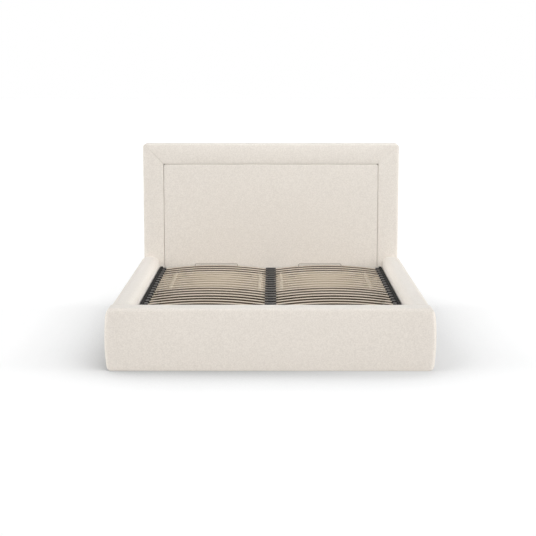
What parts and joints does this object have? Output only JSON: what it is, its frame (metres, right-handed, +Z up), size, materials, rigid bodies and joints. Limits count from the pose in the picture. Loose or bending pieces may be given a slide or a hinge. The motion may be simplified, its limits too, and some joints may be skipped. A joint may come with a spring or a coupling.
{
  "type": "storage bed",
  "caption": "Upholstered bed with a padded headboard. Its sprung slatted frame lifts from the foot on gas struts and uncovers a storage box in the base.",
  "frame": {"origin": "on the floor, under the middle of the bed's bounding box", "axes": "+X to the sleeper's left as the picture looks at the foot end, +Y along the bed towards the headboard, +Z up"},
  "size_m": [1.905, 2.2926, 1.19],
  "materials": {
    "upholstery": "fine mottled chenille weave, off-white",
    "board": "raw chipboard and softwood with black plastic glides",
    "box_floor": "brown hardboard, smooth side up",
    "bracket_steel": "zinc plated",
    "buffer_rubber": "matt black",
    "frame_steel": "black powder coat, with charcoal plastic slat holders",
    "slat_wood": "satin lacquered birch plywood in charcoal plastic holders",
    "stop_wire": "dull plated wire",
    "hinge_steel": "black powder coat with zinc pins",
    "bush_nylon": "natural nylon",
    "strut_cylinder": "gloss black",
    "strut_rod": "polished"
  },
  "bodies": {
    "base": {"headboard_border_left": "upholstery", "headboard_border_top": "upholstery", "headboard_border_right": "upholstery", "headboard_panel": "upholstery", "headboard_back": "upholstery", "foot_rail_pad": "upholstery", "side_rail_left_pad": "upholstery", "side_rail_right_pad": "upholstery", "headboard_board": "board", "foot_rail_board": "board", "side_rail_left_board": "board", "side_rail_right_board": "board", "floor_batten_left": "board", "floor_batten_right": "board", "floor_beam": "board", "floor_panel_left": "box_floor", "floor_panel_right": "box_floor", "corner_bracket_head_left": "bracket_steel", "corner_bracket_head_right": "bracket_steel", "corner_bracket_foot_left": "bracket_steel", "corner_bracket_foot_right": "bracket_steel", "rest_buffer_left": "buffer_rubber", "rest_buffer_right": "buffer_rubber", "hinge_plate_left": "hinge_steel", "hinge_plate_right": "hinge_steel", "pivot_bush_left": "bush_nylon", "pivot_bush_right": "bush_nylon"},
    "slat_frame": {"side_tube_left": "frame_steel", "side_tube_right": "frame_steel", "centre_tube": "frame_steel", "cross_tube_head": "frame_steel", "cross_tube_middle": "frame_steel", "cross_tube_foot": "frame_steel", "slat_row_01": "slat_wood", "slat_row_02": "slat_wood", "slat_row_03": "slat_wood", "slat_row_04": "slat_wood", "slat_row_05": "slat_wood", "slat_row_06": "slat_wood", "slat_row_07": "slat_wood", "slat_row_08": "slat_wood", "slat_row_09": "slat_wood", "slat_row_10": "slat_wood", "slat_row_11": "slat_wood", "slat_row_12": "slat_wood", "slat_row_13": "slat_wood", "slat_row_14": "slat_wood", "slat_row_15": "slat_wood", "slat_row_16": "slat_wood", "slat_row_17": "slat_wood", "slat_row_18": "slat_wood", "slat_row_19": "slat_wood", "slat_row_20": "slat_wood", "mattress_stop_left": "stop_wire", "mattress_stop_right": "stop_wire"},
    "strut_cylinder_left": {"strut_cylinder_left": "strut_cylinder"},
    "strut_cylinder_right": {"strut_cylinder_right": "strut_cylinder"},
    "strut_rod_left": {"strut_rod_left": "strut_rod"},
    "strut_rod_right": {"strut_rod_right": "strut_rod"}
  },
  "joints": [
    {"name": "frame_lift", "type": "hinge", "parent": "base", "child": "slat_frame", "pos_m": [0, 0.85625, 0.233], "axis": [-1, 0, 0], "range_deg": [0, 40]},
    {"name": "strut_tilt_left", "type": "hinge", "parent": "base", "child": "strut_cylinder_left", "pos_m": [-0.7878, 0.78125, 0.083], "axis": [-1, 0, 0], "range_deg": [0, 38]},
    {"name": "strut_stroke_left", "type": "slide", "parent": "strut_cylinder_left", "child": "strut_rod_left", "axis": [0, -0.9543, 0.299], "range_m": [0, 0.1135]},
    {"name": "strut_tilt_right", "type": "hinge", "parent": "base", "child": "strut_cylinder_right", "pos_m": [0.7878, 0.78125, 0.083], "axis": [-1, 0, 0], "range_deg": [0, 38]},
    {"name": "strut_stroke_right", "type": "slide", "parent": "strut_cylinder_right", "child": "strut_rod_right", "axis": [0, -0.9543, 0.299], "range_m": [0, 0.1135]}
  ],
  "couplings": [
    {"joint": "strut_tilt_left", "follows": "frame_lift", "ratio": 0.94717},
    {"joint": "strut_stroke_left", "follows": "frame_lift", "m_per_rad": 0.16196},
    {"joint": "strut_tilt_right", "follows": "frame_lift", "ratio": 0.94717},
    {"joint": "strut_stroke_right", "follows": "frame_lift", "m_per_rad": 0.16196}
  ]
}
